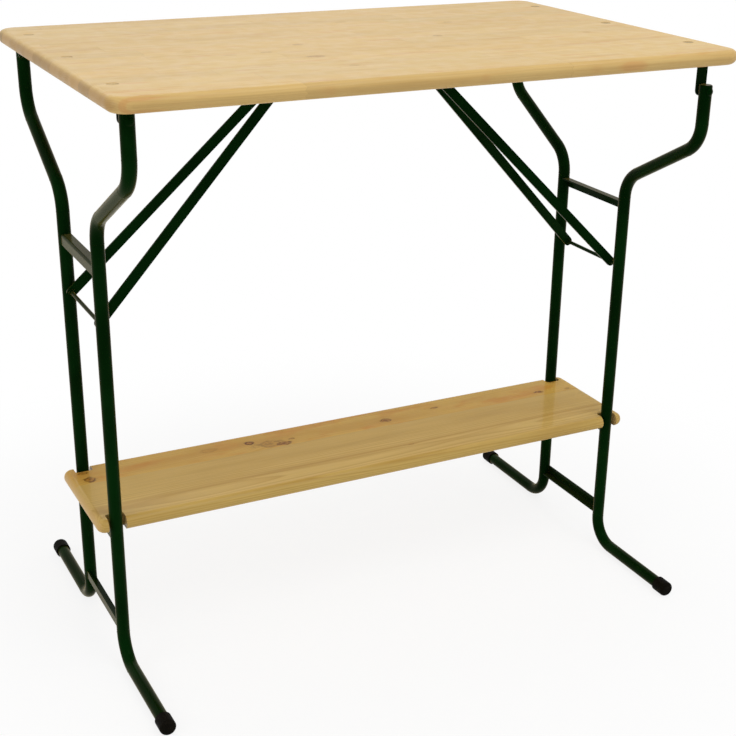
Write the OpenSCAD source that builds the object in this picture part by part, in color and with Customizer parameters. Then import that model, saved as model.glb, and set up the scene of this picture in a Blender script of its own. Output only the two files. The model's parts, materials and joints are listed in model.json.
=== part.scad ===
// High folding bar table: a pine top on two bent-tube leg frames, each braced by a pair of
// converging struts, with a loose pine shelf notched round the four legs.
// Millimetres. X runs along the top, Y across it, Z up from the floor.
// The origin is on the floor under the middle of the top.

/* [Table top] */
// Length of the top along X
top_length = 1100; // [1060:10:1300]
// Width of the top along Y
top_width = 700; // [700:10:800]
// Thickness of the glued pine panel
top_thickness = 25; // [25:1:34]
// Height of the upper face over the floor
table_height = 1058; // [1040:2:1120]
// Plan radius of the four corners
top_corner_r = 33; // [20:1:45]
// Radius of the rounded arris all round the top
top_edge_r = 12; // [4:0.5:12]

/* [Leg frames] */
// Distance from the left end of the top to the left frame
left_frame_inset = 35.5; // [30:0.5:60]
// Distance from the right end of the top to the right frame
right_frame_inset = 39.5; // [30:0.5:60]
// Outside diameter of the leg tube
tube_d = 23; // [20:0.5:25]
// Wall of the leg tube
tube_wall = 1.5; // [1:0.1:2.5]
// Half the distance between the leg tubes at the hinges
leg_spread_top = 304; // [285:1:320]
// Half the distance between the leg tubes below the S-bend
leg_spread_low = 103; // [90:1:120]
// Distance from the middle of the table to the tip of a foot
foot_reach = 345; // [330:1:350]
// Height of the S-bend's upper corner below the hinge pin
s_bend_start = 92; // [80:1:120]
// Height of the S-bend between its two corners
s_bend_drop = 109; // [95:1:140]
// Centre-line radius of the S-bend's corners
s_bend_r = 58; // [40:1:70]
// Centre-line radius of the bend at the floor
foot_bend_r = 50; // [35:1:70]
// Height of the ridge that the bending die leaves at each end of a bend
ridge_rise = 0.2; // [0.15:0.05:0.4]
// Width of that ridge
ridge_width = 1.2; // [0.8:0.1:3]
// Length of tube over the hinge pin
tube_end_over_pin = 11; // [9:0.5:12]
// Radius that rounds the closed upper end of the tube
tube_end_r = 3; // [2:0.5:6]

/* [Hinges] */
// Depth of the left hinge pins below the top's underside
left_pin_depth = 15; // [15:0.5:20]
// Depth of the right hinge pins below the top's underside
right_pin_depth = 49; // [46:0.5:60]
// Width of the steel strap that carries two hinge ears
strap_width = 21; // [16:1:26]
// Thickness of the strap
strap_thickness = 3; // [2:0.5:4]
// Diameter of a hinge rivet
rivet_d = 8; // [6:0.5:9]
// Diameter of a hinge rivet's heads
rivet_head_d = 14; // [12:0.5:17]
// Thickness of a hinge rivet's heads
rivet_head_h = 3; // [2:0.5:4]
// Gap between an ear and its tube, filled by a washer
washer_gap = 1; // [0.6:0.1:1.5]
// Outside diameter of that washer
washer_d = 13; // [11:0.5:17]
// Distance from the middle of the strap to an outer bolt
strap_bolt_spread = 245; // [200:1:260]
// Diameter of the bolts that hold the straps
bolt_d = 6; // [5:0.5:8]
// Diameter of a bolt's flush head in the top
bolt_head_d = 18; // [12:0.5:20]
// Depth of a bolt's flush head
bolt_head_h = 2.5; // [2:0.5:5]
// Width over the flats of a nut
nut_flats = 10; // [10:0.5:14]
// Height of a nut
nut_h = 5; // [4:0.5:6]

/* [Cross bars] */
// Width of the bent steel angle's level arm
bar_width = 17; // [14:1:20]
// Height of its upright arm
bar_height = 19; // [14:1:26]
// Thickness of its steel
bar_thickness = 3; // [2:0.5:4]
// Outside radius of its bend
bar_bend_r = 4.5; // [3.5:0.5:8]
// Distance from the left S-bend's lower corner down to the upper bar's top
left_upper_bar_drop = 71; // [45:1:120]
// Distance from the right S-bend's lower corner down to the upper bar's top
right_upper_bar_drop = 43; // [38:1:90]
// Height of the left lower bar's underside over the upper end of the floor bend
left_lower_bar_rise = 2; // [1:0.5:40]
// Height of the right lower bar's underside over the upper end of the floor bend
right_lower_bar_rise = 8; // [1:0.5:40]
// Height of the stubs of angle that carry the shelf
lug_height = 21; // [16:1:26]
// Length of each of those stubs
lug_length = 34; // [20:1:45]
// Seam left between a bar's coped end and the tube
weld_gap = 0.15; // [0.1:0.05:0.3]

/* [Struts] */
// Distance from the left hinge pins down to their strut rod
left_strut_drop = 375; // [365:1:385]
// Distance from the right hinge pins down to their strut rod
right_strut_drop = 372; // [362:1:382]
// Distance along the top from the left hinge pins to the lock pin
left_strut_reach = 378; // [368:1:386]
// Distance along the top from the right hinge pins to the lock pin
right_strut_reach = 366; // [356:1:374]
// Width of the flat strut bar
strut_width = 17.5; // [14:0.5:20]
// Thickness of the flat strut bar
strut_thickness = 4; // [3:0.5:5]
// Distance on the rod from a left leg's inner face to the middle of the strut
left_strut_inset = 6.5; // [6:0.5:20]
// Distance on the rod from a right leg's inner face to the middle of the strut
right_strut_inset = 17.5; // [6:0.5:20]
// Half the distance between two struts on the lock pin
strut_spread_top = 15; // [13:0.5:18]
// Diameter of the rod through the strut feet
rod_d = 7; // [5:0.5:8]
// Diameter of the collars that keep the struts in place on the rod
collar_d = 12; // [10:0.5:14]
// Thickness of a collar
collar_h = 2; // [1.5:0.5:2.5]
// Diameter of the lock pin that joins two struts
lock_pin_d = 8; // [6:0.5:8.5]

/* [Catches] */
// Play between a strut's upper end and the cheek beside it
cheek_play = 2.9; // [2.6:0.1:4]
// Thickness of the catch's sheet steel
cheek_thickness = 3; // [2:0.5:3.5]
// Width of the latch between the struts
latch_width = 12; // [8:1:14]
// Diameter of the latch's pivot
latch_pivot_d = 6; // [4:0.5:7]
// Diameter of the screws that hold a catch
screw_d = 4; // [3:0.5:5]
// Length of a screw in the wood
screw_length = 16; // [10:1:20]

/* [Shelf] */
// Height of the shelf's upper face over the floor
shelf_top_z = 295; // [280:1:320]
// Thickness of the shelf
shelf_thickness = 25; // [25:1:30]
// Width of the shelf
shelf_width = 235; // [230:1:252]
// Distance from the shelf's middle back to the seam between its planks
shelf_seam_y = 37; // [-40:1:40]
// Length of shelf beyond the left legs
shelf_left_over = 35; // [34:1:60]
// Length of shelf beyond the right legs
shelf_right_over = 33; // [32:1:60]
// Plan radius of the shelf's corners
shelf_corner_r = 16; // [13:1:18]
// Radius of the shelf's rounded arris
shelf_edge_r = 12; // [3:0.5:12]
// Play of a leg tube to each side in its notch
notch_play = 4.5; // [3:0.5:6]
// Play of a leg tube at the bottom of its notch
notch_floor_play = 1.2; // [0.5:0.1:2]
// Radius in the corners of a notch
notch_corner_r = 5; // [2:0.5:8]

/* [Foot caps] */
// Outside diameter of a rubber foot cap
cap_d = 29; // [27:0.5:30]
// Length of a foot cap
cap_length = 30; // [24:1:36]
// Thickness of rubber over the tube's end
cap_end = 5; // [3:0.5:7]
// Radius that rounds the cap's end
cap_round = 6; // [3:0.5:8]
// Depth of the small flat that the cap stands on
cap_flat = 0.5; // [0.3:0.1:0.8]

/* [Fits] */
// Radial clearance of a pin that turns in its hole
pin_clearance = 0.06; // [0.03:0.01:0.1]
// Radial clearance of the lock pin in the catch's seat
seat_clearance = 0.3; // [0.2:0.05:0.4]
// Clearance between faces that move past each other
side_clearance = 0.3; // [0.2:0.05:0.5]

/* [Hidden] */
$fn = 48;

GREEN = "#0b2a17";
RUBBER = "#15120f";
ZINC = "#9a9c9a";
PINE = "#dec597";
SHELF_PINE = "#bea064";

LEFT = -1;
RIGHT = 1;
FRONT = -1;
BACK = 1;
ON_TOP = 1;
BELOW = -1;
cut_over = 1;

left_frame_x = -top_length / 2 + left_frame_inset;
right_frame_x = top_length / 2 - right_frame_inset;
underside_z = table_height - top_thickness;
tube_r = tube_d / 2;
rivet_r = rivet_d / 2;
rod_r = rod_d / 2;
lock_r = lock_pin_d / 2;
pivot_r = latch_pivot_d / 2;
bolt_r = bolt_d / 2;
screw_r = screw_d / 2;
foot_z = cap_d / 2 - cap_flat;
foot_tip = foot_reach - cap_end;
ear_y = leg_spread_top - tube_r - washer_gap - strap_thickness;
bar_end_y = leg_spread_low - tube_r / 2;
shelf_bottom_z = shelf_top_z - shelf_thickness;

ridge_gap = 0.05;

function frame_x(side) = side == LEFT ? left_frame_x : right_frame_x;
function pin_depth(side) = side == LEFT ? left_pin_depth : right_pin_depth;
function pin_z(side) = underside_z - pin_depth(side);
function strut_drop(side) = side == LEFT ? left_strut_drop : right_strut_drop;
function strut_reach(side) = side == LEFT ? left_strut_reach : right_strut_reach;
function rod_z(side) = pin_z(side) - strut_drop(side);
function upper_bar_z(side) = pin_z(side) - s_bend_start - s_bend_drop
    - (side == LEFT ? left_upper_bar_drop : right_upper_bar_drop);
function lower_bar_z(side) = foot_z + foot_bend_r
    + (side == LEFT ? left_lower_bar_rise : right_lower_bar_rise);

// A frame is drawn with +X towards the middle of the table, then set at its end.
module at_frame(side) {
    translate([frame_x(side), 0, 0])
        if (side == LEFT) children();
        else mirror([1, 0, 0]) children();
}

module on_row_y(row) {
    if (row == BACK) children();
    else mirror([0, 1, 0]) children();
}

// A round bar along Y with its middle at the origin.
module y_bar(r, length) {
    rotate([90, 0, 0]) cylinder(r = r, h = length, center = true);
}

// Bent tube in the YZ plane.

function unit(v) = v / norm(v);
function turn_angle(a, b) = atan2(a[0] * b[1] - a[1] * b[0], a[0] * b[0] + a[1] * b[1]);
function heading(v) = atan2(v[1], v[0]);
function tangent_length(p, i, radii) = (i == 0 || i == len(p) - 1) ? 0 :
    radii[i] * tan(abs(turn_angle(p[i] - p[i - 1], p[i + 1] - p[i])) / 2);

// Round bar of radius r along a flat path with rounded corners. A low ridge rings the tube
// where each bend starts and ends, as a bending die leaves it, and the pieces meet inside it.
module bent_bar(points, radii, r) {
    rotate([90, 0, 90]) {
        for (i = [0 : len(points) - 2]) {
            dir = unit(points[i + 1] - points[i]);
            before = tangent_length(points, i, radii) + (i > 0 ? ridge_gap : 0);
            after = tangent_length(points, i + 1, radii)
                + (i < len(points) - 2 ? ridge_gap : 0);
            start = points[i] + dir * before;
            translate([start[0], start[1], 0]) rotate([0, 0, heading(dir)])
                rotate([0, 90, 0])
                    cylinder(r = r, h = norm(points[i + 1] - points[i]) - before - after);
        }
        for (i = [1 : len(points) - 2]) {
            dir = unit(points[i] - points[i - 1]);
            next = unit(points[i + 1] - points[i]);
            turn = turn_angle(dir, next);
            reach = tangent_length(points, i, radii);
            start = points[i] - dir * reach;
            centre = start + sign(turn) * radii[i] * [-dir[1], dir[0]];
            from = heading(start - centre) + (turn > 0 ? 0 : turn);
            inset = ridge_gap / radii[i] * 180 / PI;
            translate([centre[0], centre[1], 0]) rotate([0, 0, from + inset])
                rotate_extrude(angle = abs(turn) - 2 * inset)
                    translate([radii[i], 0]) circle(r = r);
            for (seam = [[start, dir], [points[i] + next * reach, next]])
                translate([seam[0][0], seam[0][1], 0]) rotate([0, 0, heading(seam[1])])
                    rotate([0, 90, 0])
                        cylinder(r = r + ridge_rise, h = ridge_width, center = true);
        }
    }
}

// Corners of a leg's centre line, from the hinge end down to the foot.
function leg_points(side, top_z, tip_y) = [
    [leg_spread_top, top_z],
    [leg_spread_top, pin_z(side) - s_bend_start],
    [leg_spread_low, pin_z(side) - s_bend_start - s_bend_drop],
    [leg_spread_low, foot_z],
    [tip_y, foot_z]];
leg_radii = [0, s_bend_r, s_bend_r, foot_bend_r, 0];

// Cylinder whose upper rim is rounded, from z = 0 up to h.
module round_ended_plug(r, edge, h) {
    rotate_extrude() {
        square([r - edge, h]);
        square([r, h - edge]);
        intersection() {
            translate([r - edge, h - edge]) circle(r = edge);
            square([r, h]);
        }
    }
}

module leg(side, row) {
    tube_top = pin_z(side) + tube_end_over_pin;
    plug_z = tube_top - tube_end_r - tube_wall;
    color(GREEN) on_row_y(row) difference() {
        union() {
            bent_bar(leg_points(side, plug_z, foot_tip), leg_radii, tube_r);
            translate([0, leg_spread_top, plug_z])
                round_ended_plug(tube_r, tube_end_r, tube_top - plug_z);
        }
        bent_bar(leg_points(side, plug_z - tube_wall, foot_tip + cut_over), leg_radii,
            tube_r - tube_wall);
        translate([0, leg_spread_top, pin_z(side)])
            y_bar(rivet_r + pin_clearance, tube_d + 2 * cut_over);
        // The strut rod's end sits in a hole in the inner wall only.
        translate([0, leg_spread_low - tube_r / 2 - cut_over, rod_z(side)])
            y_bar(rod_r + pin_clearance, tube_r + cut_over);
    }
}

// Half section of a board's rim, from the plan corner radius out to the edge.
module rim_section(corner_r, edge_r, thickness) {
    intersection() {
        square([corner_r, thickness]);
        union() {
            square([corner_r - edge_r, thickness]);
            translate([0, edge_r]) square([corner_r, thickness - 2 * edge_r]);
            for (z = [edge_r, thickness - edge_r])
                translate([corner_r - edge_r, z]) circle(r = edge_r);
        }
    }
}

// Board centred on the origin with rounded plan corners and a rounded arris all round.
module rounded_board(length, width, thickness, corner_r, edge_r) {
    inner_x = length / 2 - corner_r;
    inner_y = width / 2 - corner_r;
    translate([-inner_x, -inner_y, 0]) cube([2 * inner_x, 2 * inner_y, thickness]);
    for (end = [0, 180]) rotate([0, 0, end]) {
        translate([inner_x, inner_y, 0]) rotate([90, 0, 0]) linear_extrude(2 * inner_y)
            rim_section(corner_r, edge_r, thickness);
        translate([-inner_x, inner_y, 0]) rotate([90, 0, 90]) linear_extrude(2 * inner_x)
            rim_section(corner_r, edge_r, thickness);
        for (spot = [[inner_x, inner_y, 0], [-inner_x, inner_y, 90]])
            translate([spot[0], spot[1], 0]) rotate([0, 0, spot[2]])
                rotate_extrude(angle = 90) rim_section(corner_r, edge_r, thickness);
    }
}

module at_strap_bolts(side) {
    for (y = [-strap_bolt_spread, 0, strap_bolt_spread])
        translate([frame_x(side), y, 0]) children();
}

module table_top() {
    color(PINE) difference() {
        translate([0, 0, underside_z])
            rounded_board(top_length, top_width, top_thickness, top_corner_r, top_edge_r);
        for (side = [LEFT, RIGHT]) {
            at_strap_bolts(side) {
                translate([0, 0, underside_z - cut_over])
                    cylinder(r = bolt_r + pin_clearance, h = top_thickness + 2 * cut_over);
                translate([0, 0, table_height - bolt_head_h - pin_clearance])
                    cylinder(d = bolt_head_d + 2 * pin_clearance, h = bolt_head_h + cut_over);
            }
            at_catch_screws(side) translate([0, 0, underside_z - cut_over])
                cylinder(r = screw_r + pin_clearance, h = screw_length + 2 * cut_over);
        }
    }
}

module strap_bolts() {
    color(ZINC) for (side = [LEFT, RIGHT]) at_strap_bolts(side) {
        translate([0, 0, table_height - bolt_head_h])
            cylinder(d = bolt_head_d, h = bolt_head_h - side_clearance);
        translate([0, 0, underside_z - strap_thickness - nut_h])
            cylinder(r = bolt_r, h = top_thickness + strap_thickness + nut_h - bolt_head_h);
    }
}

module strap_nuts() {
    color(ZINC) for (side = [LEFT, RIGHT]) at_strap_bolts(side)
        translate([0, 0, underside_z - strap_thickness - nut_h]) difference() {
            cylinder(d = nut_flats / cos(30), h = nut_h, $fn = 6);
            translate([0, 0, -cut_over])
                cylinder(r = bolt_r + pin_clearance, h = nut_h + 2 * cut_over);
        }
}

// Rectangle standing on y = 0 with its two upper corners rounded.
module round_shouldered(half_width, height, r) {
    translate([-half_width, 0]) square([2 * half_width, height - r]);
    translate([r - half_width, 0]) square([2 * (half_width - r), height]);
    for (end = [-1, 1]) translate([end * (half_width - r), height - r]) circle(r = r);
}

// Steel strap across the underside whose two ends bend down as round-ended ears.
module hinge_strap(side) {
    color(GREEN) difference() {
        union() {
            translate([-strap_width / 2, 0, pin_z(side)]) rotate([90, 0, 90])
                linear_extrude(strap_width) difference() {
                    round_shouldered(ear_y + strap_thickness, pin_depth(side),
                        2 * strap_thickness);
                    translate([0, -cut_over]) round_shouldered(ear_y,
                        pin_depth(side) - strap_thickness + cut_over, strap_thickness);
                }
            for (row = [FRONT, BACK]) on_row_y(row)
                translate([0, ear_y + strap_thickness / 2, pin_z(side)])
                    y_bar(strap_width / 2, strap_thickness);
        }
        for (row = [FRONT, BACK]) on_row_y(row)
            translate([0, ear_y, pin_z(side)])
                y_bar(rivet_r + pin_clearance, 4 * strap_thickness);
        for (y = [-strap_bolt_spread, 0, strap_bolt_spread])
            translate([0, y, underside_z - strap_thickness - cut_over])
                cylinder(r = bolt_r + pin_clearance, h = strap_thickness + 2 * cut_over);
    }
}

// Two rivets, with a flat head inside the ear and a domed head outside the tube.
module hinge_rivets(side) {
    head_r = rivet_head_d / 2;
    outer_y = leg_spread_top + tube_r + pin_clearance;
    color(GREEN) for (row = [FRONT, BACK]) on_row_y(row)
        translate([0, 0, pin_z(side)]) rotate([-90, 0, 0]) rotate_extrude() {
            translate([0, ear_y - pin_clearance - rivet_head_h]) square([head_r, rivet_head_h]);
            translate([0, ear_y - pin_clearance - rivet_head_h])
                square([rivet_r, outer_y + pin_clearance + 1.25 * rivet_head_h - ear_y]);
            translate([0, outer_y]) intersection() {
                square([head_r, rivet_head_h]);
                translate([0, rivet_head_h - dome_r(head_r, rivet_head_h)])
                    circle(r = dome_r(head_r, rivet_head_h), $fn = 96);
            }
        }
}

function dome_r(half_chord, rise) = (half_chord * half_chord + rise * rise) / (2 * rise);

// Four washers between the ears and the tubes.
module hinge_washers() {
    color(GREEN) for (side = [LEFT, RIGHT], row = [FRONT, BACK]) at_frame(side) on_row_y(row)
        translate([0, ear_y + strap_thickness + pin_clearance, pin_z(side)])
            rotate([-90, 0, 0]) difference() {
                cylinder(d = washer_d, h = washer_gap - 2 * pin_clearance);
                translate([0, 0, -cut_over])
                    cylinder(r = rivet_r + pin_clearance, h = washer_gap + 2 * cut_over);
            }
}

// Rectangle below the X axis whose corner at the origin is rounded.
module bent_corner(width, height, r) {
    translate([r, -height]) square([width - r, height]);
    translate([0, -height]) square([width, height - r]);
    translate([r, -r]) circle(r = r);
}

// Section of the bent angle: a level arm under the X axis and an upright arm at the outer side.
module angle_section(height) {
    translate([-bar_width / 2, 0]) difference() {
        bent_corner(bar_width, height, bar_bend_r);
        translate([bar_thickness, -bar_thickness])
            bent_corner(bar_width, height, bar_bend_r - bar_thickness);
    }
}

// Room for the round leg tubes at the end of a bar.
module leg_cope() {
    translate([0, leg_spread_low, 0])
        cylinder(r = tube_r + weld_gap, h = 4 * bar_height, center = true);
}

// Steel angle along Y between the legs, its bend at the outer side, on top or below.
module cross_bar(z, bend) {
    color(GREEN) translate([0, 0, z]) difference() {
        if (bend == ON_TOP) cross_angle();
        else mirror([0, 0, 1]) cross_angle();
        for (row = [FRONT, BACK]) on_row_y(row) leg_cope();
    }
}

module cross_angle() {
    translate([0, bar_end_y, 0]) rotate([90, 0, 0])
        linear_extrude(2 * bar_end_y) angle_section(bar_height);
}

// Two short stubs of angle that carry the shelf.
module shelf_lugs() {
    color(GREEN) translate([0, 0, shelf_bottom_z]) for (row = [FRONT, BACK]) on_row_y(row)
        difference() {
            translate([0, bar_end_y, 0]) rotate([90, 0, 0])
                linear_extrude(tube_r / 2 + lug_length) angle_section(lug_height);
            leg_cope();
        }
}

function strut_run(side) = norm([strut_reach(side), strut_drop(side)]);
function strut_spread(side) = leg_spread_low - tube_r
    - (side == LEFT ? left_strut_inset : right_strut_inset);
function strut_toe(side) = atan2(strut_spread(side) - strut_spread_top, strut_run(side));
function strut_half_y(side) = strut_thickness / 2 / cos(strut_toe(side))
    + strut_width / 2 * sin(strut_toe(side));

// Flat bar with round ends from the rod up to the lock pin, drilled square to the frame.
module strut(side, row) {
    toe = strut_toe(side);
    length = strut_run(side) / cos(toe);
    drill = 4 * strut_half_y(side);
    color(GREEN) on_row_y(row) translate([0, strut_spread(side), rod_z(side)])
        rotate([0, -atan2(strut_drop(side), strut_reach(side)), 0]) difference() {
            rotate([0, 0, -toe]) rotate([90, 0, 0])
                linear_extrude(strut_thickness, center = true) {
                    translate([0, -strut_width / 2]) square([length, strut_width]);
                    circle(d = strut_width);
                    translate([length, 0]) circle(d = strut_width);
                }
            y_bar(rod_r + pin_clearance, drill);
            translate([strut_run(side), strut_spread_top - strut_spread(side), 0])
                y_bar(lock_r + pin_clearance, drill);
        }
}

// Rod between the legs with two collars beside each strut.
module strut_rod(side) {
    reach = leg_spread_low - tube_r + 2 * tube_wall;
    color(GREEN) translate([0, 0, rod_z(side)]) {
        y_bar(rod_r, 2 * reach);
        for (row = [FRONT, BACK]) on_row_y(row)
            for (beside = [-1, 1])
                translate([0, strut_spread(side)
                    + beside * (strut_half_y(side) + side_clearance + collar_h / 2), 0])
                    y_bar(collar_d / 2, collar_h);
    }
}

// Clear half width between a catch's cheeks, and half length of the lock pin to its heads.
cheek_half = strut_spread_top + max(strut_half_y(LEFT), strut_half_y(RIGHT)) + cheek_play;
pin_head_y = cheek_half + cheek_thickness + side_clearance;
pin_head_h = 2.5;
pin_head_r = lock_r + 2.5;

module lock_pin(side) {
    color(ZINC) at_catch(side) {
        y_bar(lock_r, 2 * (pin_head_y + pin_head_h));
        for (row = [FRONT, BACK]) on_row_y(row)
            translate([0, pin_head_y + pin_head_h / 2, 0]) y_bar(pin_head_r, pin_head_h);
    }
}

// Places on a catch, measured from the lock pin: +X towards the table's middle, Y up.
seat_r = lock_r + seat_clearance;
mouth_r = lock_r + seat_clearance / 2;
latch_pivot = [-22, 2];
cheek_left = -33;
cheek_right = 15;
cheek_bottom = -11;
plate_left = -42;
plate_right = 24;
plate_lip = 14;
plate_half_width = cheek_half + cheek_thickness + plate_lip;
screw_rows = [-34, 16];
screw_y = plate_half_width - plate_lip / 2;
hook_r = 2.5;
tail_end = [-50, -3];

// The hook runs round the lock pin as two lines that touch one circle.
hook_reach = lock_r + side_clearance + hook_r;
shank_angle = heading(latch_pivot) + acos(hook_reach / norm(latch_pivot)) - 360;
nose_angle = -45;
hook_half_turn = (nose_angle - shank_angle) / 2;
hook_bend = hook_reach / cos(hook_half_turn) * polar((nose_angle + shank_angle) / 2);
hook_tip_length = 3;
hook_tip = hook_reach * polar(nose_angle) + hook_tip_length * polar(nose_angle + 90);
function polar(angle) = [cos(angle), sin(angle)];

module rod_2d(a, b, r) {
    translate(a) rotate([0, 0, heading(b - a)]) translate([0, -r]) square([norm(b - a), 2 * r]);
    for (p = [a, b]) translate(p) circle(r = r);
}

module at_catch(side) {
    translate([strut_reach(side), 0, pin_z(side)]) children();
}

module at_catch_screws(side) {
    at_frame(side) for (x = screw_rows, y = [-screw_y, screw_y])
        translate([strut_reach(side) + x, y, 0]) children();
}

// Base plate and two cheeks, each with a seat that is open below and towards the middle.
module catch_bracket(side) {
    rise = pin_depth(side) - cheek_thickness;
    far = cheek_right - cheek_bottom;
    color(GREEN) at_catch(side) difference() {
        union() {
            translate([plate_left, -plate_half_width, rise])
                cube([plate_right - plate_left, 2 * plate_half_width, cheek_thickness]);
            for (row = [FRONT, BACK]) on_row_y(row)
                translate([0, cheek_half + cheek_thickness, 0]) rotate([90, 0, 0])
                    linear_extrude(cheek_thickness) difference() {
                        translate([cheek_left, cheek_bottom])
                            square([cheek_right - cheek_left, rise - cheek_bottom]);
                        circle(r = seat_r);
                        translate([-mouth_r, -far]) square([mouth_r, far]);
                        polygon([[0, 0], [0, -far], [far + mouth_r * sqrt(2), -far],
                            mouth_r * polar(45)]);
                    }
        }
        translate([latch_pivot[0], 0, latch_pivot[1]])
            y_bar(pivot_r + pin_clearance, 4 * cheek_half);
        for (x = screw_rows, y = [-screw_y, screw_y])
            translate([x, y, rise - cut_over])
                cylinder(r = screw_r + pin_clearance, h = cheek_thickness + 2 * cut_over);
    }
}

module catch_screws() {
    head_r = 2 * screw_r;
    head_h = 2.4;
    color(ZINC) for (side = [LEFT, RIGHT]) at_catch_screws(side)
        translate([0, 0, underside_z - cheek_thickness - head_h]) rotate_extrude() {
            translate([0, head_h / 2])
                square([screw_r, cheek_thickness + head_h / 2 + screw_length]);
            intersection() {
                square([head_r, head_h]);
                translate([0, dome_r(head_r, head_h)])
                    circle(r = dome_r(head_r, head_h), $fn = 96);
            }
        }
}

// Lever whose hook closes the seat under the lock pin, with a tail to push up.
module latch(side) {
    color(GREEN) at_catch(side) rotate([90, 0, 0])
        linear_extrude(latch_width, center = true) difference() {
            union() {
                translate(latch_pivot) circle(r = 2 * pivot_r);
                rod_2d(latch_pivot, hook_bend, hook_r);
                rod_2d(hook_bend, hook_tip, hook_r);
                rod_2d(latch_pivot, tail_end, hook_r);
            }
            translate(latch_pivot) circle(r = pivot_r + pin_clearance);
        }
}

module latch_pivots() {
    color(ZINC) for (side = [LEFT, RIGHT]) at_frame(side) at_catch(side)
        translate([latch_pivot[0], 0, latch_pivot[1]])
            y_bar(pivot_r, 2 * (cheek_half + cheek_thickness + side_clearance));
}

shelf_left_x = left_frame_x - shelf_left_over;
shelf_right_x = right_frame_x + shelf_right_over;

// Notch open to the long edge, with rounded corners at its floor.
module notch(side, row) {
    half = tube_r + notch_play;
    floor_y = leg_spread_low - tube_r - notch_floor_play;
    translate([frame_x(side), 0, shelf_bottom_z - cut_over]) on_row_y(row)
        linear_extrude(shelf_thickness + 2 * cut_over) {
            translate([-half, floor_y + notch_corner_r]) square([2 * half, shelf_width]);
            translate([-half + notch_corner_r, floor_y])
                square([2 * (half - notch_corner_r), shelf_width]);
            for (x = [-half + notch_corner_r, half - notch_corner_r])
                translate([x, floor_y + notch_corner_r]) circle(r = notch_corner_r);
        }
}

module shelf_plank(row) {
    color(SHELF_PINE) difference() {
        translate([(shelf_left_x + shelf_right_x) / 2, 0, shelf_bottom_z])
            rounded_board(shelf_right_x - shelf_left_x, shelf_width, shelf_thickness,
                shelf_corner_r, shelf_edge_r);
        for (side = [LEFT, RIGHT]) notch(side, row);
        translate([-top_length, row == FRONT ? shelf_seam_y : shelf_seam_y - shelf_width,
            shelf_bottom_z - cut_over])
            cube([2 * top_length, shelf_width, shelf_thickness + 2 * cut_over]);
    }
}

// Rubber cup over the foot, a rounded end outside, flat where it stands.
module foot_caps(side) {
    color(RUBBER) for (row = [FRONT, BACK]) on_row_y(row) intersection() {
        translate([0, foot_reach - cap_length, foot_z]) rotate([-90, 0, 0]) difference() {
            round_ended_plug(cap_d / 2, cap_round, cap_length);
            translate([0, 0, -cut_over])
                cylinder(r = tube_r + pin_clearance, h = cap_length - cap_end + cut_over
                    + pin_clearance);
        }
        translate([-cap_d, 0, 0]) cube([2 * cap_d, foot_reach + cap_d, 2 * cap_d]);
    }
}

table_top();
at_frame(LEFT) hinge_strap(LEFT);  // left_hinge_strap
at_frame(RIGHT) hinge_strap(RIGHT);  // right_hinge_strap
strap_bolts();
strap_nuts();
at_frame(LEFT) hinge_rivets(LEFT);  // left_hinge_rivets
at_frame(RIGHT) hinge_rivets(RIGHT);  // right_hinge_rivets
hinge_washers();
at_frame(LEFT) leg(LEFT, FRONT);  // left_front_leg
at_frame(LEFT) leg(LEFT, BACK);  // left_back_leg
at_frame(RIGHT) leg(RIGHT, FRONT);  // right_front_leg
at_frame(RIGHT) leg(RIGHT, BACK);  // right_back_leg
at_frame(LEFT) cross_bar(upper_bar_z(LEFT), ON_TOP);  // left_upper_bar
at_frame(RIGHT) cross_bar(upper_bar_z(RIGHT), ON_TOP);  // right_upper_bar
at_frame(LEFT) cross_bar(lower_bar_z(LEFT), BELOW);  // left_lower_bar
at_frame(RIGHT) cross_bar(lower_bar_z(RIGHT), BELOW);  // right_lower_bar
at_frame(LEFT) shelf_lugs();  // left_shelf_lugs
at_frame(RIGHT) shelf_lugs();  // right_shelf_lugs
at_frame(LEFT) strut_rod(LEFT);  // left_strut_rod
at_frame(RIGHT) strut_rod(RIGHT);  // right_strut_rod
at_frame(LEFT) foot_caps(LEFT);  // left_foot_caps
at_frame(RIGHT) foot_caps(RIGHT);  // right_foot_caps
at_frame(LEFT) strut(LEFT, FRONT);  // left_front_strut
at_frame(LEFT) strut(LEFT, BACK);  // left_back_strut
at_frame(RIGHT) strut(RIGHT, FRONT);  // right_front_strut
at_frame(RIGHT) strut(RIGHT, BACK);  // right_back_strut
at_frame(LEFT) lock_pin(LEFT);  // left_lock_pin
at_frame(RIGHT) lock_pin(RIGHT);  // right_lock_pin
at_frame(LEFT) catch_bracket(LEFT);  // left_catch_bracket
at_frame(RIGHT) catch_bracket(RIGHT);  // right_catch_bracket
catch_screws();
at_frame(LEFT) latch(LEFT);  // left_latch
at_frame(RIGHT) latch(RIGHT);  // right_latch
latch_pivots();
shelf_plank(FRONT);  // shelf_front_plank
shelf_plank(BACK);  // shelf_back_plank
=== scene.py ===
"""Finishes the folding bar table: varnished pine, dark green powder coat, zinc and rubber."""

import json
import math
import random

import bmesh
import bpy
from mathutils import Matrix, Vector


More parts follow.
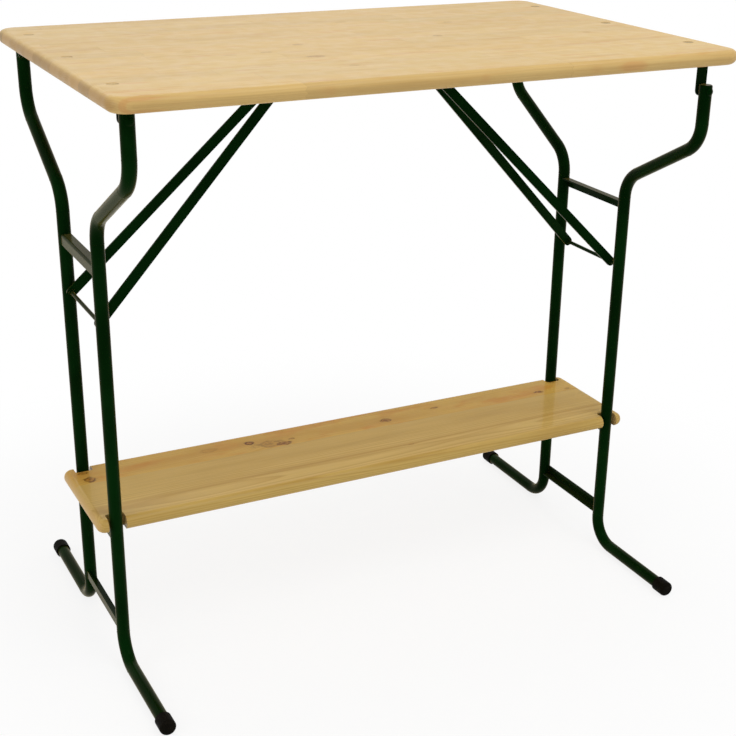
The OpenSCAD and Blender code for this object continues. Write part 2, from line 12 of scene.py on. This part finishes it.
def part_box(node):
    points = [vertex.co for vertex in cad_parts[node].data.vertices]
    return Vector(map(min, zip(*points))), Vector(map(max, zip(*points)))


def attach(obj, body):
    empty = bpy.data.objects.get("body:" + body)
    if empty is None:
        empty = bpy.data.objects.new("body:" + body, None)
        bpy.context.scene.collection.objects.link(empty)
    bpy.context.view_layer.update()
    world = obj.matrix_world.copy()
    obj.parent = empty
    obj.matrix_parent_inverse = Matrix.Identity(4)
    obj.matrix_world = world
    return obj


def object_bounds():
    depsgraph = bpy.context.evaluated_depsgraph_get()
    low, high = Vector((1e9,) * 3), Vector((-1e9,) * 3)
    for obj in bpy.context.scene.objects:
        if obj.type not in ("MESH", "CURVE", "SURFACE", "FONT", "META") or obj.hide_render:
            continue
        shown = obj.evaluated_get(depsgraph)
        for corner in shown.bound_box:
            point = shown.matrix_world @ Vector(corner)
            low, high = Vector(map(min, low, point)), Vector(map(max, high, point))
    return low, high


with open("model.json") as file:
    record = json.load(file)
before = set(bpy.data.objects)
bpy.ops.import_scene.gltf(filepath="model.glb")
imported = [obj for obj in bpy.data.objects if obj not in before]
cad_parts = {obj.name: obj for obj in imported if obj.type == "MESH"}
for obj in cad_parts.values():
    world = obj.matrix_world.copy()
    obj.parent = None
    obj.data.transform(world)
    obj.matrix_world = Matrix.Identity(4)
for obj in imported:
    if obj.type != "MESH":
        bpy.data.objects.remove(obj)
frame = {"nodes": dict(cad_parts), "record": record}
cad_low, cad_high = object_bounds()

# Camera: where it stands (m), where it looks (degrees) and its lens, in a 736 by 736 frame.
CAMERA_PLACE = Vector((-1.07766, -2.19252, 1.43006))
CAMERA_YAW, CAMERA_PITCH, CAMERA_ROLL = 27.249, -22.893, 0.904
FRAME_PX = 736
FOCAL_PX = 1389.21
CENTRE_PX = (382.66, 391.15)
SENSOR_MM = 36

# Light: the world's strength, then each softbox's name, place, aim, size (m) and watts.
WORLD_LIGHT = 0.56
TABLE_MIDDLE = (0, 0, 0.6)
SOFTBOXES = [
    ("key", (0.4, -1.4, 3.3), TABLE_MIDDLE, (1.8, 1.8), 33),
    ("fill", (-3.0, -0.6, 1.8), TABLE_MIDDLE, (1.6, 1.6), 13),
    ("rear", (0.5, 3.0, 2.6), TABLE_MIDDLE, (2.4, 1.2), 10),
    ("window", (1.24, -0.75, 2.51), (0.16, -0.25, 0.9), (0.31, 0.3), 2.2),
]

# Floor: a disc just under the feet, that turns white between the two distances (m).
FLOOR_Z = -0.0004
FLOOR_RADIUS = 9
FLOOR_SEGMENTS = 64
FLOOR_FADE = (0.45, 1.3)
FLOOR_WHITENESS = (0.84, 1.0)

# Shades as they would be read off the object, 0 to 255.
PINE_PALE = (217, 186, 122)
PINE_LATE = (196, 156, 92)
PINE_END = (184, 146, 92)
PINE_DASH = (206, 150, 92)
SHELF_PALE = (214, 181, 104)
SHELF_LATE = (187, 147, 72)
SHELF_WARM = (220, 182, 92)
SHELF_WARM_LATE = (192, 142, 60)
KNOT_RIM = (80, 38, 2)
KNOT_HEART = (166, 104, 24)
WARM_PATCH = (206, 136, 52)
SHELF_END = (210, 172, 112)
GREEN_DEEP = (2, 27, 4)
GREEN_SHEEN = (5, 38, 9)
DUST_GREY = (40, 44, 34)
ZINC_PALE = (184, 164, 128)
ZINC_DULL = (160, 138, 102)
RUBBER_DARK = (15, 13, 8)
RUBBER_WORN = (30, 27, 21)
FLOOR_GREY = (248, 248, 248)
FLOOR_PALE = (251, 251, 251)

# Tints of the shaders' own sockets, linear.
GREEN_GLOSS = (0.25, 0.62, 0.18, 1)
OLIVE_GRAZE = (1.0, 0.76, 0.22, 1)
BROWNED_EDGE = (0.90, 0.78, 0.58, 1)
WHITE = (1, 1, 1, 1)

# Between these a noise texture spends most of its area.
NOISE_LOW, NOISE_HIGH = 0.3, 0.7

# The top is a panel of narrow staves, glued edge to edge and finger-jointed end to end (m).
HALF_TOP_WIDTH = 0.35
STAVE_WIDTH = 2 * HALF_TOP_WIDTH / 13
STAVE_LENGTH = 0.46
FINGER_PITCH = 0.0045
FINGER_SLOPE = 1.0
TOP_RING_GAP = 0.0031
PITH_ASIDE = (-0.05, 0.05)
PITH_BELOW = (0.012, 0.075)

# Glue lines: how far from a stave's middle they begin and are full, in widths or lengths of
# a stave, and how dark they are.
SEAM_LINE, SEAM_DEPTH = (0.490, 0.499), 0.08
JOINT_LINE, JOINT_DEPTH = (0.4982, 0.4998), 0.16

# Growth rings: how far they drift, in gaps, and how pale wood passes to latewood in a gap.
RING_DRIFT = 7
LATEWOOD_STOPS = [(0.0, 0.10), (0.35, 0.0), (0.80, 0.75), (0.92, 1.0), (1.0, 0.10)]

# Zones of a knot in radii from its middle, each as (nothing, full), and how rings swell by it.
HEART_ZONE = (1.05, 0.45)
RIM_INSIDE = (0.35, 0.70)
RIM_OUTSIDE = (1.25, 0.90)
PIT_ZONE, PIT_SHARE = (0.38, 0.12), 0.8
SWELL_HEIGHT, SWELL_FALL = 1.1, -0.22

# How strongly a knot's halo, heart and rim show.
TOP_KNOTS_SHOW = (0.20, 0.40, 0.45)
SHELF_KNOTS_SHOW = (0.40, 0.62, 0.95)

# Knots: place along and across the table, radius (m), length over width, and strength.
TOP_KNOTS = [
    (-0.324, -0.024, 0.005, 1.4, 0.3), (-0.127, -0.021, 0.006, 1.6, 0.6),
    (-0.149, -0.139, 0.009, 1.5, 0.7), (-0.127, -0.235, 0.007, 1.5, 0.3),
    (0.138, -0.021, 0.006, 1.5, 0.7), (-0.209, -0.072, 0.005, 1.8, 0.4),
    (0.409, -0.083, 0.005, 1.4, 0.5), (0.236, 0.117, 0.006, 1.6, 0.4),
    (0.048, 0.189, 0.006, 1.8, 0.3), (-0.271, -0.079, 0.005, 1.8, 0.3),
]
BACK_PLANK_KNOTS = [
    (-0.199, 0.076, 0.0065, 1.7, 1.0), (-0.163, 0.058, 0.014, 1.8, 0.40),
    (-0.134, 0.047, 0.006, 2.2, 0.9), (-0.115, 0.061, 0.003, 2.0, 0.5),
    (-0.518, 0.084, 0.005, 2.0, 0.7), (-0.514, 0.052, 0.0095, 1.6, 0.85),
    (-0.281, 0.078, 0.008, 2.2, 0.18), (0.089, 0.062, 0.007, 1.7, 0.9),
    (0.207, 0.074, 0.0038, 2.0, 0.55), (0.445, 0.055, 0.006, 1.7, 0.8),
    (0.504, 0.088, 0.004, 2.0, 0.5), (0.514, 0.047, 0.004, 1.8, 0.4),
]
FRONT_PLANK_KNOTS = [(0.085, -0.060, 0.0022, 2.6, 0.35)]

# The shelf's grain runs slightly aslant, with one darker band along the front plank (m).
PLANK_SLANT = -0.012
FRONT_PLANK_BAND_Y = -0.058
BAND_HALF_WIDTH = 0.009
BAND_STRENGTH = 0.6

# Varnish: roughness, specular level, coat weight and coat roughness.
TOP_VARNISH = (0.42, 0.07, 0.10, 0.10)
SHELF_VARNISH = (0.36, 0.03, 0.19, 0.05)

# Weld beads: the leg tubes they run round, the bead itself (m), and where its points lie, in
# heights up the bar's standing arm and in half widths across its level arm.
TUBE_RADIUS = 0.0115
LEG_LINE_Y = 0.103
BEAD_RADIUS = 0.0013
BEAD_WAVER = (0.85, 1.2)
BEAD_END = 0.6
STANDING_STEPS = (0.08, 0.24, 0.40, 0.56, 0.72, 0.92)
LEVEL_STEPS = (-0.7, -0.45, -0.2, 0.05, 0.3, 0.55, 0.85)


def shade(rgb):
    """Linear colour of a shade that is written 0 to 255."""
    linear = [c / 255 / 12.92 if c < 10.3 else ((c / 255 + 0.055) / 1.055) ** 2.4
              for c in rgb]
    return (*linear, 1)


class Finish:
    """A material, with short ways to add to its nodes."""

    def __init__(self, name):
        self.material = bpy.data.materials.new(name)
        self.material.use_nodes = True
        self.tree = self.material.node_tree
        self.tree.nodes.clear()
        self.out = self.add("ShaderNodeOutputMaterial")
        self.shader = self.add("ShaderNodeBsdfPrincipled")
        self.tree.links.new(self.shader.outputs[0], self.out.inputs["Surface"])
        coordinates = self.add("ShaderNodeTexCoord")
        self.place = coordinates.outputs["Object"]
        self.facing = coordinates.outputs["Normal"]

    def add(self, kind, inputs=None, **settings):
        made = self.tree.nodes.new(kind)
        for setting, value in settings.items():
            setattr(made, setting, value)
        for socket, value in (inputs or {}).items():
            self.feed(made, socket, value)
        return made

    def feed(self, node, socket, value):
        if isinstance(value, bpy.types.NodeSocket):
            self.tree.links.new(value, node.inputs[socket])
        else:
            node.inputs[socket].default_value = value

    def surface(self, **sockets):
        for socket, value in sockets.items():
            self.feed(self.shader, socket.replace("_", " "), value)

    def math(self, operation, *values):
        made = self.add("ShaderNodeMath", dict(enumerate(values)), operation=operation)
        return made.outputs[0]

    def times(self, first, second):
        return self.math("MULTIPLY", first, second)

    def minus(self, first, second):
        return self.math("SUBTRACT", first, second)

    def size_of(self, value):
        return self.math("ABSOLUTE", value)

    def largest(self, values):
        most = values[0]
        for value in values[1:]:
            most = self.math("MAXIMUM", most, value)
        return most

    def split(self, vector):
        made = self.add("ShaderNodeSeparateXYZ", {0: vector})
        return made.outputs[0], made.outputs[1], made.outputs[2]

    def join(self, x, y, z):
        return self.add("ShaderNodeCombineXYZ", {0: x, 1: y, 2: z}).outputs[0]

    def length(self, vector):
        made = self.add("ShaderNodeVectorMath", {0: vector}, operation="LENGTH")
        return made.outputs[1]

    def noise(self, vector, scale=1.0, detail=2.0, roughness=0.5):
        made = self.add("ShaderNodeTexNoise", {
            "Vector": vector, "Scale": scale, "Detail": detail, "Roughness": roughness})
        return made.outputs[0]

    def streaks(self, along, across, layer, detail, roughness=0.5):
        """Noise drawn out along the board: its scales along and across, and which layer."""
        x, y, _ = self.split(self.place)
        return self.noise(self.join(self.times(x, along), self.times(y, across), layer),
                          detail=detail, roughness=roughness)

    def chance(self, vector):
        """Random numbers that are the same all over one whole-number cell."""
        made = self.add("ShaderNodeTexWhiteNoise", {"Vector": vector},
                        noise_dimensions="3D")
        return made.outputs[0], self.split(made.outputs[1])

    def spread(self, value, low, high, to_low=0.0, to_high=1.0, smooth=True):
        made = self.add("ShaderNodeMapRange", {
            "Value": value, "From Min": low, "From Max": high, "To Min": to_low,
            "To Max": to_high}, interpolation_type="SMOOTHSTEP" if smooth else "LINEAR")
        return made.outputs[0]

    def vary(self, noise, to_low=0.0, to_high=1.0):
        return self.spread(noise, NOISE_LOW, NOISE_HIGH, to_low, to_high)

    def evenly(self, chance, to_low, to_high):
        return self.spread(chance, 0, 1, to_low, to_high, smooth=False)

    def ramp(self, value, stops):
        made = self.add("ShaderNodeValToRGB", {"Fac": value})
        steps = made.color_ramp.elements
        while len(steps) < len(stops):
            steps.new(0.5)
        for step, (at, level) in zip(steps, stops):
            step.position = at
            step.color = (level, level, level, 1)
        return made.outputs[0]

    def blend(self, amount, first, second, kind="MIX"):
        made = self.add("ShaderNodeMix", {0: amount, 6: first, 7: second},
                        data_type="RGBA", blend_type=kind)
        return made.outputs[2]

    def tinted(self, colour, red, green, blue):
        return self.blend(1.0, colour, self.join(red, green, blue), "MULTIPLY")

    def dimmed(self, colour, level):
        return self.tinted(colour, level, level, level)

    def relief(self, height, strength, distance):
        made = self.add("ShaderNodeBump", {
            "Height": height, "Strength": strength, "Distance": distance})
        self.feed(self.shader, "Normal", made.outputs[0])


def growth_rings(wood, along, across, through, seed, gap, knots):
    """Latewood, fibre, and the knots' (halo, heart, rim), of wood whose pith lies lengthwise.

    across and through are measured from the pith."""
    x, y, _ = wood.split(wood.place)
    reach = wood.math("SQRT", wood.math("ADD", wood.times(across, across),
                                        wood.times(through, through)))
    drift = wood.noise(wood.join(wood.math("MULTIPLY_ADD", seed, 37.0, wood.times(along, 1.6)),
                                 wood.times(across, 9.0), wood.times(through, 9.0)),
                       detail=1.5)
    reach = wood.math("MULTIPLY_ADD", wood.minus(drift, 0.5), gap * RING_DRIFT, reach)
    ragged = wood.noise(wood.place, scale=150, detail=4, roughness=0.7)
    wander = wood.noise(wood.place, scale=48, detail=1)
    bend = wood.math("MULTIPLY_ADD", ragged, 1.3, wood.math("MULTIPLY_ADD", wander, 1.9, -1.6))
    halos, hearts, rims = [], [], []
    for knot_x, knot_y, radius, stretch, strength in knots:
        off = wood.join(wood.math("DIVIDE", wood.minus(x, knot_x), radius * stretch),
                        wood.math("DIVIDE", wood.minus(y, knot_y), radius), 0.0)
        away = wood.length(off)
        swell = wood.math("EXPONENT", wood.times(wood.times(away, away), SWELL_FALL))
        reach = wood.math("MULTIPLY_ADD", swell, radius * SWELL_HEIGHT, reach)
        away = wood.math("ADD", bend, away)
        ring = wood.times(wood.spread(away, *RIM_INSIDE),
                          wood.times(wood.spread(away, *RIM_OUTSIDE), strength))
        pit = wood.times(wood.spread(away, *PIT_ZONE), strength * PIT_SHARE)
        halos.append(wood.times(swell, strength ** 0.5))
        hearts.append(wood.times(wood.spread(away, *HEART_ZONE), strength))
        rims.append(wood.largest([ring, pit]))
    rim = wood.times(wood.largest(rims), wood.spread(ragged, 0.38, 0.55, 0.15, 1.0))
    uneven = wood.noise(wood.join(wood.times(reach, 90.0), seed, 0.0), detail=1)
    turns = wood.math("MULTIPLY_ADD", uneven, 1.5, wood.math("DIVIDE", reach, gap))
    late = wood.ramp(wood.math("FRACT", turns), LATEWOOD_STOPS)
    fibre = wood.noise(wood.join(wood.times(along, 9.0), wood.times(across, 620.0),
                                 wood.times(through, 620.0)), detail=3, roughness=0.65)
    return late, fibre, (wood.largest(halos), wood.largest(hearts), rim)


def show_knots(wood, colour, marks, amounts):
    for mark, amount, tone in zip(marks, amounts, (SHELF_WARM_LATE, KNOT_HEART, KNOT_RIM)):
        colour = wood.blend(wood.times(mark, amount), colour, shade(tone))
    return colour


# Painted shade: faces that look along y, the long front and back edges, are darkened in the
# colour itself.
def paint_shade_on_long_edges(wood, colour, level):
    _, end_y, _ = wood.split(wood.facing)
    return wood.dimmed(colour, wood.spread(wood.size_of(end_y), 0.2, 0.9, 1.0, level))


def varnished(wood, colour, late, fibre, varnish):
    """Clear varnish that leaves a little of the grain's relief."""
    roughness, gloss, coat, coat_roughness = varnish
    fine = wood.noise(wood.place, scale=38, detail=3)
    wood.surface(Base_Color=colour,
                 Roughness=wood.vary(fine, roughness - 0.05, roughness + 0.07),
                 Coat_Weight=coat, Coat_Roughness=coat_roughness, Specular_IOR_Level=gloss)
    brush = wood.noise(wood.place, scale=60, detail=1)
    relief = wood.math("MULTIPLY_ADD", late, 0.35,
                       wood.math("MULTIPLY_ADD", fibre, 0.5, brush))
    wood.relief(relief, 0.30, 0.0004)
    return wood.material


def stave_panel():
    """The top: narrow staves, each with its own tone, rings and finger joints."""
    wood = Finish("stave_pine")
    x, y, z = wood.split(wood.place)
    across = wood.math("DIVIDE", wood.math("ADD", y, HALF_TOP_WIDTH), STAVE_WIDTH)
    row = wood.math("FLOOR", across)
    row_shift, _ = wood.chance(wood.join(row, 3.0, 0.0))
    fingers = wood.math("PINGPONG", z, FINGER_PITCH)
    along = wood.math("MULTIPLY_ADD", row_shift, 7.0, wood.math(
        "DIVIDE", wood.math("MULTIPLY_ADD", fingers, FINGER_SLOPE, x), STAVE_LENGTH))
    piece = wood.math("FLOOR", along)
    tone, (side, depth, warm) = wood.chance(wood.join(row, piece, 1.0))

    from_middle = wood.minus(y, wood.math("MULTIPLY_ADD", row, STAVE_WIDTH,
                                          -HALF_TOP_WIDTH + STAVE_WIDTH / 2))
    from_pith = wood.math("ADD", from_middle, wood.evenly(side, *PITH_ASIDE))
    through = wood.math("ADD", wood.minus(z, cad_high.z), wood.evenly(depth, *PITH_BELOW))
    late, fibre, knot_marks = growth_rings(wood, x, from_pith, through, tone, TOP_RING_GAP,
                                           TOP_KNOTS)

    colour = wood.blend(wood.times(late, 0.30), shade(PINE_PALE), shade(PINE_LATE))
    cloud = wood.streaks(5.0, 30.0, tone, detail=3)
    colour = wood.blend(wood.spread(cloud, 0.45, 0.75, 0.0, 0.35), colour,
                        shade(PINE_LATE))
    dash = wood.streaks(11.0, 120.0, tone, detail=2)
    colour = wood.blend(wood.spread(dash, 0.58, 0.72, 0.0, 0.5), colour,
                        shade(PINE_DASH))
    level = wood.times(wood.evenly(tone, 0.96, 1.02), wood.vary(fibre, 0.95, 1.03))
    colour = wood.tinted(colour, level,
                         wood.times(level, wood.spread(warm, 0, 1, 0.965, 1.0)),
                         wood.times(level, wood.spread(warm, 0, 1, 0.92, 1.02)))
    colour = show_knots(wood, colour, knot_marks, TOP_KNOTS_SHOW)

    def glue(count, line, depth):
        off = wood.size_of(wood.minus(wood.math("FRACT", count), 0.5))
        return wood.times(wood.spread(off, *line), depth)

    glued = wood.largest([glue(across, SEAM_LINE, SEAM_DEPTH),
                          glue(along, JOINT_LINE, JOINT_DEPTH)])
    colour = wood.blend(glued, colour, shade(KNOT_RIM))

    end_x, _, _ = wood.split(wood.facing)
    end_grain = wood.spread(wood.size_of(end_x), 0.45, 0.95)
    end_level = wood.times(wood.evenly(tone, 0.78, 1.14),
                           wood.math("MULTIPLY_ADD", late, -0.12, 1.0))
    colour = wood.blend(wood.times(end_grain, 0.85), colour,
                        wood.dimmed(shade(PINE_END), end_level))
    # Painted shade on the top's long front and back edges.
    colour = paint_shade_on_long_edges(wood, colour, 0.96)
    return varnished(wood, colour, late, fibre, TOP_VARNISH)


def plank(name, pith_y, pith_z, gap, pale, late_shade, seed, knots, contrast, band_y=None,
          patches=0.0):
    """One solid pine plank of the shelf under a glossy varnish."""
    wood = Finish(name)
    x, y, z = wood.split(wood.place)
    slant = wood.math("MULTIPLY_ADD", x, PLANK_SLANT, y)
    late, fibre, knot_marks = growth_rings(wood, x, wood.minus(slant, pith_y),
                                           wood.minus(z, pith_z), seed, gap, knots)
    colour = wood.blend(wood.times(late, contrast), shade(pale), shade(late_shade))
    cloud = wood.streaks(2.2, 22.0, seed, detail=3)
    colour = wood.blend(wood.spread(cloud, 0.42, 0.72, 0.0, 0.5), colour,
                        shade(late_shade))
    if patches:
        blot = wood.streaks(7.0, 24.0, 8.0 + seed, detail=4, roughness=0.62)
        colour = wood.blend(wood.spread(blot, 0.46, 0.68, 0.0, patches), colour,
                            shade(WARM_PATCH))
    if band_y is not None:
        from_band = wood.size_of(wood.minus(slant, band_y))
        band = wood.spread(from_band, BAND_HALF_WIDTH, 0.0, 0.0, BAND_STRENGTH)
        colour = wood.blend(band, colour, shade(late_shade))
    colour = wood.dimmed(colour, wood.vary(fibre, 0.94, 1.04))
    colour = show_knots(wood, colour, knot_marks, SHELF_KNOTS_SHOW)
    # Painted shade on the plank's long front and back edges.
    colour = paint_shade_on_long_edges(wood, colour, 0.88)
    end_x, _, _ = wood.split(wood.facing)
    end_grain = wood.spread(wood.size_of(end_x), 0.35, 0.9, 0.0, 0.7)
    colour = wood.blend(end_grain, colour, shade(SHELF_END))
    return varnished(wood, colour, late, fibre, SHELF_VARNISH)


def powder_coat():
    """Dark green powder coat: glossy, with a faint orange peel and a few dust specks."""
    paint = Finish("green_powder_coat")
    tone = paint.noise(paint.place, scale=9, detail=3)
    colour = paint.blend(paint.spread(tone, 0.35, 0.7), shade(GREEN_DEEP),
                         shade(GREEN_SHEEN))
    peel = paint.noise(paint.place, scale=420, detail=2)
    speck = paint.spread(paint.noise(paint.place, scale=760, detail=0), 0.80, 0.86)
    colour = paint.blend(paint.times(speck, 0.12), colour, shade(DUST_GREY))
    rough = paint.noise(paint.place, scale=24, detail=4)
    paint.surface(Base_Color=colour, Roughness=paint.vary(rough, 0.13, 0.22),
                  Specular_IOR_Level=0.022, Specular_Tint=GREEN_GLOSS, Sheen_Weight=0.42,
                  Sheen_Roughness=0.3, Sheen_Tint=OLIVE_GRAZE)
    paint.relief(paint.math("ADD", peel, speck), 0.08, 0.0003)
    return paint.material


def zinc_plate():
    """Dull zinc plating, clouded and slightly browned as on old fasteners."""
    zinc = Finish("dull_zinc")
    cloud = zinc.noise(zinc.place, scale=160, detail=4, roughness=0.6)
    spangle = zinc.noise(zinc.place, scale=900, detail=1)
    colour = zinc.blend(zinc.vary(cloud), shade(ZINC_DULL), shade(ZINC_PALE))
    zinc.surface(Base_Color=colour, Metallic=1.0, Specular_Tint=BROWNED_EDGE,
                 Roughness=zinc.vary(spangle, 0.34, 0.52))
    zinc.relief(spangle, 0.15, 0.0002)
    return zinc.material


def cap_rubber():
    """Moulded rubber of the foot caps, scuffed and slightly dusty."""
    rubber = Finish("cap_rubber")
    scuff = rubber.noise(rubber.place, scale=95, detail=5, roughness=0.7)
    grit = rubber.noise(rubber.place, scale=1100, detail=2)
    colour = rubber.blend(rubber.spread(scuff, 0.48, 0.78), shade(RUBBER_DARK),
                          shade(RUBBER_WORN))
    rubber.surface(Base_Color=colour, Specular_IOR_Level=0.02,
                   Roughness=rubber.vary(scuff, 0.42, 0.60))
    rubber.relief(grit, 0.25, 0.0003)
    return rubber.material


def dress(node, material):
    slots = frame["nodes"][node].data.materials
    slots.clear()
    slots.append(material)


finishes = {"top_wood": stave_panel(), "green_paint": powder_coat(),
            "zinc": zinc_plate(), "cap_rubber": cap_rubber()}
for part in frame["record"]["subparts"]:
    if part["material_slot"] in finishes:
        dress(part["node"], finishes[part["material_slot"]])
dress("shelf_front_plank", plank(
    "front_plank_pine", pith_y=-0.075, pith_z=0.225, gap=0.0030, pale=SHELF_PALE,
    late_shade=SHELF_LATE, seed=2.3, knots=FRONT_PLANK_KNOTS, contrast=0.60,
    band_y=FRONT_PLANK_BAND_Y))
dress("shelf_back_plank", plank(
    "back_plank_pine", pith_y=0.155, pith_z=0.245, gap=0.0042, pale=SHELF_WARM,
    late_shade=SHELF_WARM_LATE, seed=5.1, knots=BACK_PLANK_KNOTS, contrast=0.55,
    patches=0.6))


def tube_face_y(off):
    """Where a leg's tube faces the middle of the table, off to the side of its centre."""
    return LEG_LINE_Y - math.sqrt(TUBE_RADIUS ** 2 - off ** 2)


def weld_beads(bar, level_arm=None):
    """Hand-laid beads where the ends of an angle bar meet the two legs.

    One runs up the standing arm, and one across the level arm where level_arm says
    whether that lies at the bar's top or bottom."""
    low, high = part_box(bar)
    middle_x = (low.x + high.x) / 2
    half_width = (high.x - low.x) / 2
    outward = -1 if middle_x < 0 else 1
    jitter = random.Random(bar)
    data = bpy.data.curves.new(bar + "_beads", "CURVE")
    data.dimensions = "3D"
    data.bevel_depth = BEAD_RADIUS
    data.bevel_resolution = 3
    data.use_fill_caps = True
    for row in (-1, 1):
        lines = [[(middle_x + outward * half_width, row * tube_face_y(half_width),
                   low.z + (high.z - low.z) * t) for t in STANDING_STEPS]]
        if level_arm:
            level_z = high.z if level_arm == "top" else low.z
            lines.append([(middle_x - step * outward, row * tube_face_y(step), level_z)
                          for step in (half_width * t for t in LEVEL_STEPS)])
        for line in lines:
            spline = data.splines.new("POLY")
            spline.points.add(len(line) - 1)
            for i, (point, place) in enumerate(zip(spline.points, line)):
                at_end = i in (0, len(line) - 1)
                point.co = (*place, 1)
                point.radius = jitter.uniform(*BEAD_WAVER) * (BEAD_END if at_end else 1)
    beads = bpy.data.objects.new(bar + "_beads", data)
    bpy.context.scene.collection.objects.link(beads)
    data.materials.append(finishes["green_paint"])
    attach(beads, "table")


for side in ("left", "right"):
    weld_beads(side + "_upper_bar", "top")
    weld_beads(side + "_lower_bar", "bottom")
    weld_beads(side + "_shelf_lugs")


def set_camera():
    yaw, pitch, roll = (math.radians(a) for a in (CAMERA_YAW, CAMERA_PITCH, CAMERA_ROLL))
    ahead = Vector((math.sin(yaw) * math.cos(pitch), math.cos(yaw) * math.cos(pitch),
                    math.sin(pitch)))
    right = Vector((math.cos(yaw), -math.sin(yaw), 0))
    up = right.cross(ahead)
    level_right = right * math.cos(roll) + up * math.sin(roll)
    level_up = up * math.cos(roll) - right * math.sin(roll)
    turn = Matrix((level_right, level_up, -ahead)).transposed().to_4x4()
    data = bpy.data.cameras.new("camera")
    data.sensor_width = SENSOR_MM
    data.lens = FOCAL_PX / FRAME_PX * SENSOR_MM
    data.shift_x = (FRAME_PX / 2 - CENTRE_PX[0]) / FRAME_PX
    data.shift_y = (CENTRE_PX[1] - FRAME_PX / 2) / FRAME_PX
    camera = bpy.data.objects.new("camera", data)
    camera.matrix_world = Matrix.Translation(CAMERA_PLACE) @ turn
    bpy.context.scene.collection.objects.link(camera)
    bpy.context.scene.camera = camera


def seen_or_mirrored(tree):
    """1 where a camera, glossy or transmission ray meets the background, else 0."""
    path = tree.nodes.new("ShaderNodeLightPath")
    amount = path.outputs["Is Camera Ray"]
    for ray in ("Is Glossy Ray", "Is Transmission Ray"):
        either = tree.nodes.new("ShaderNodeMath")
        either.operation = "MAXIMUM"
        tree.links.new(amount, either.inputs[0])
        tree.links.new(path.outputs[ray], either.inputs[1])
        amount = either.outputs[0]
    return amount


def set_floor():
    """Pale floor that keeps the table's shadow and fades to white further out."""
    mesh = bpy.data.meshes.new("floor")
    made = bmesh.new()
    bmesh.ops.create_circle(made, cap_ends=True, radius=FLOOR_RADIUS, segments=FLOOR_SEGMENTS,
                            matrix=Matrix.Translation((0, 0, FLOOR_Z)))
    made.to_mesh(mesh)
    made.free()
    floor = bpy.data.objects.new("floor", mesh)
    bpy.context.scene.collection.objects.link(floor)
    pale = Finish("pale_floor")
    grain = pale.noise(pale.place, scale=14, detail=2)
    pale.surface(Base_Color=pale.blend(grain, shade(FLOOR_GREY), shade(FLOOR_PALE)),
                 Roughness=0.9, Specular_IOR_Level=0.0)
    glow = pale.add("ShaderNodeEmission", {"Color": WHITE, "Strength": 1.0})
    white = pale.spread(pale.length(pale.place), *FLOOR_FADE, *FLOOR_WHITENESS)
    mixed = pale.add("ShaderNodeMixShader", {
        0: pale.times(seen_or_mirrored(pale.tree), white), 1: pale.shader.outputs[0],
        2: glow.outputs[0]})
    pale.tree.links.new(mixed.outputs[0], pale.out.inputs["Surface"])
    mesh.materials.append(pale.material)


def set_world():
    """White where it is seen or mirrored, softer where it lights."""
    world = bpy.data.worlds.new("studio")
    world.use_nodes = True
    tree = world.node_tree
    tree.nodes.clear()
    light = tree.nodes.new("ShaderNodeMapRange")
    light.inputs["To Min"].default_value = WORLD_LIGHT
    background = tree.nodes.new("ShaderNodeBackground")
    out = tree.nodes.new("ShaderNodeOutputWorld")
    tree.links.new(seen_or_mirrored(tree), light.inputs["Value"])
    tree.links.new(light.outputs[0], background.inputs["Strength"])
    tree.links.new(background.outputs[0], out.inputs["Surface"])
    background.inputs["Color"].default_value = WHITE
    bpy.context.scene.world = world


def softbox(name, place, aim, size, watts):
    data = bpy.data.lights.new(name, "AREA")
    data.shape = "RECTANGLE"
    data.size, data.size_y = size
    data.energy = watts
    lamp = bpy.data.objects.new(name, data)
    lamp.location = place
    lamp.rotation_mode = "QUATERNION"
    lamp.rotation_quaternion = (Vector(aim) - Vector(place)).to_track_quat("-Z", "Y")
    bpy.context.scene.collection.objects.link(lamp)


set_camera()
set_floor()
set_world()
for settings in SOFTBOXES:
    softbox(*settings)
bpy.context.scene.view_settings.view_transform = "Standard"
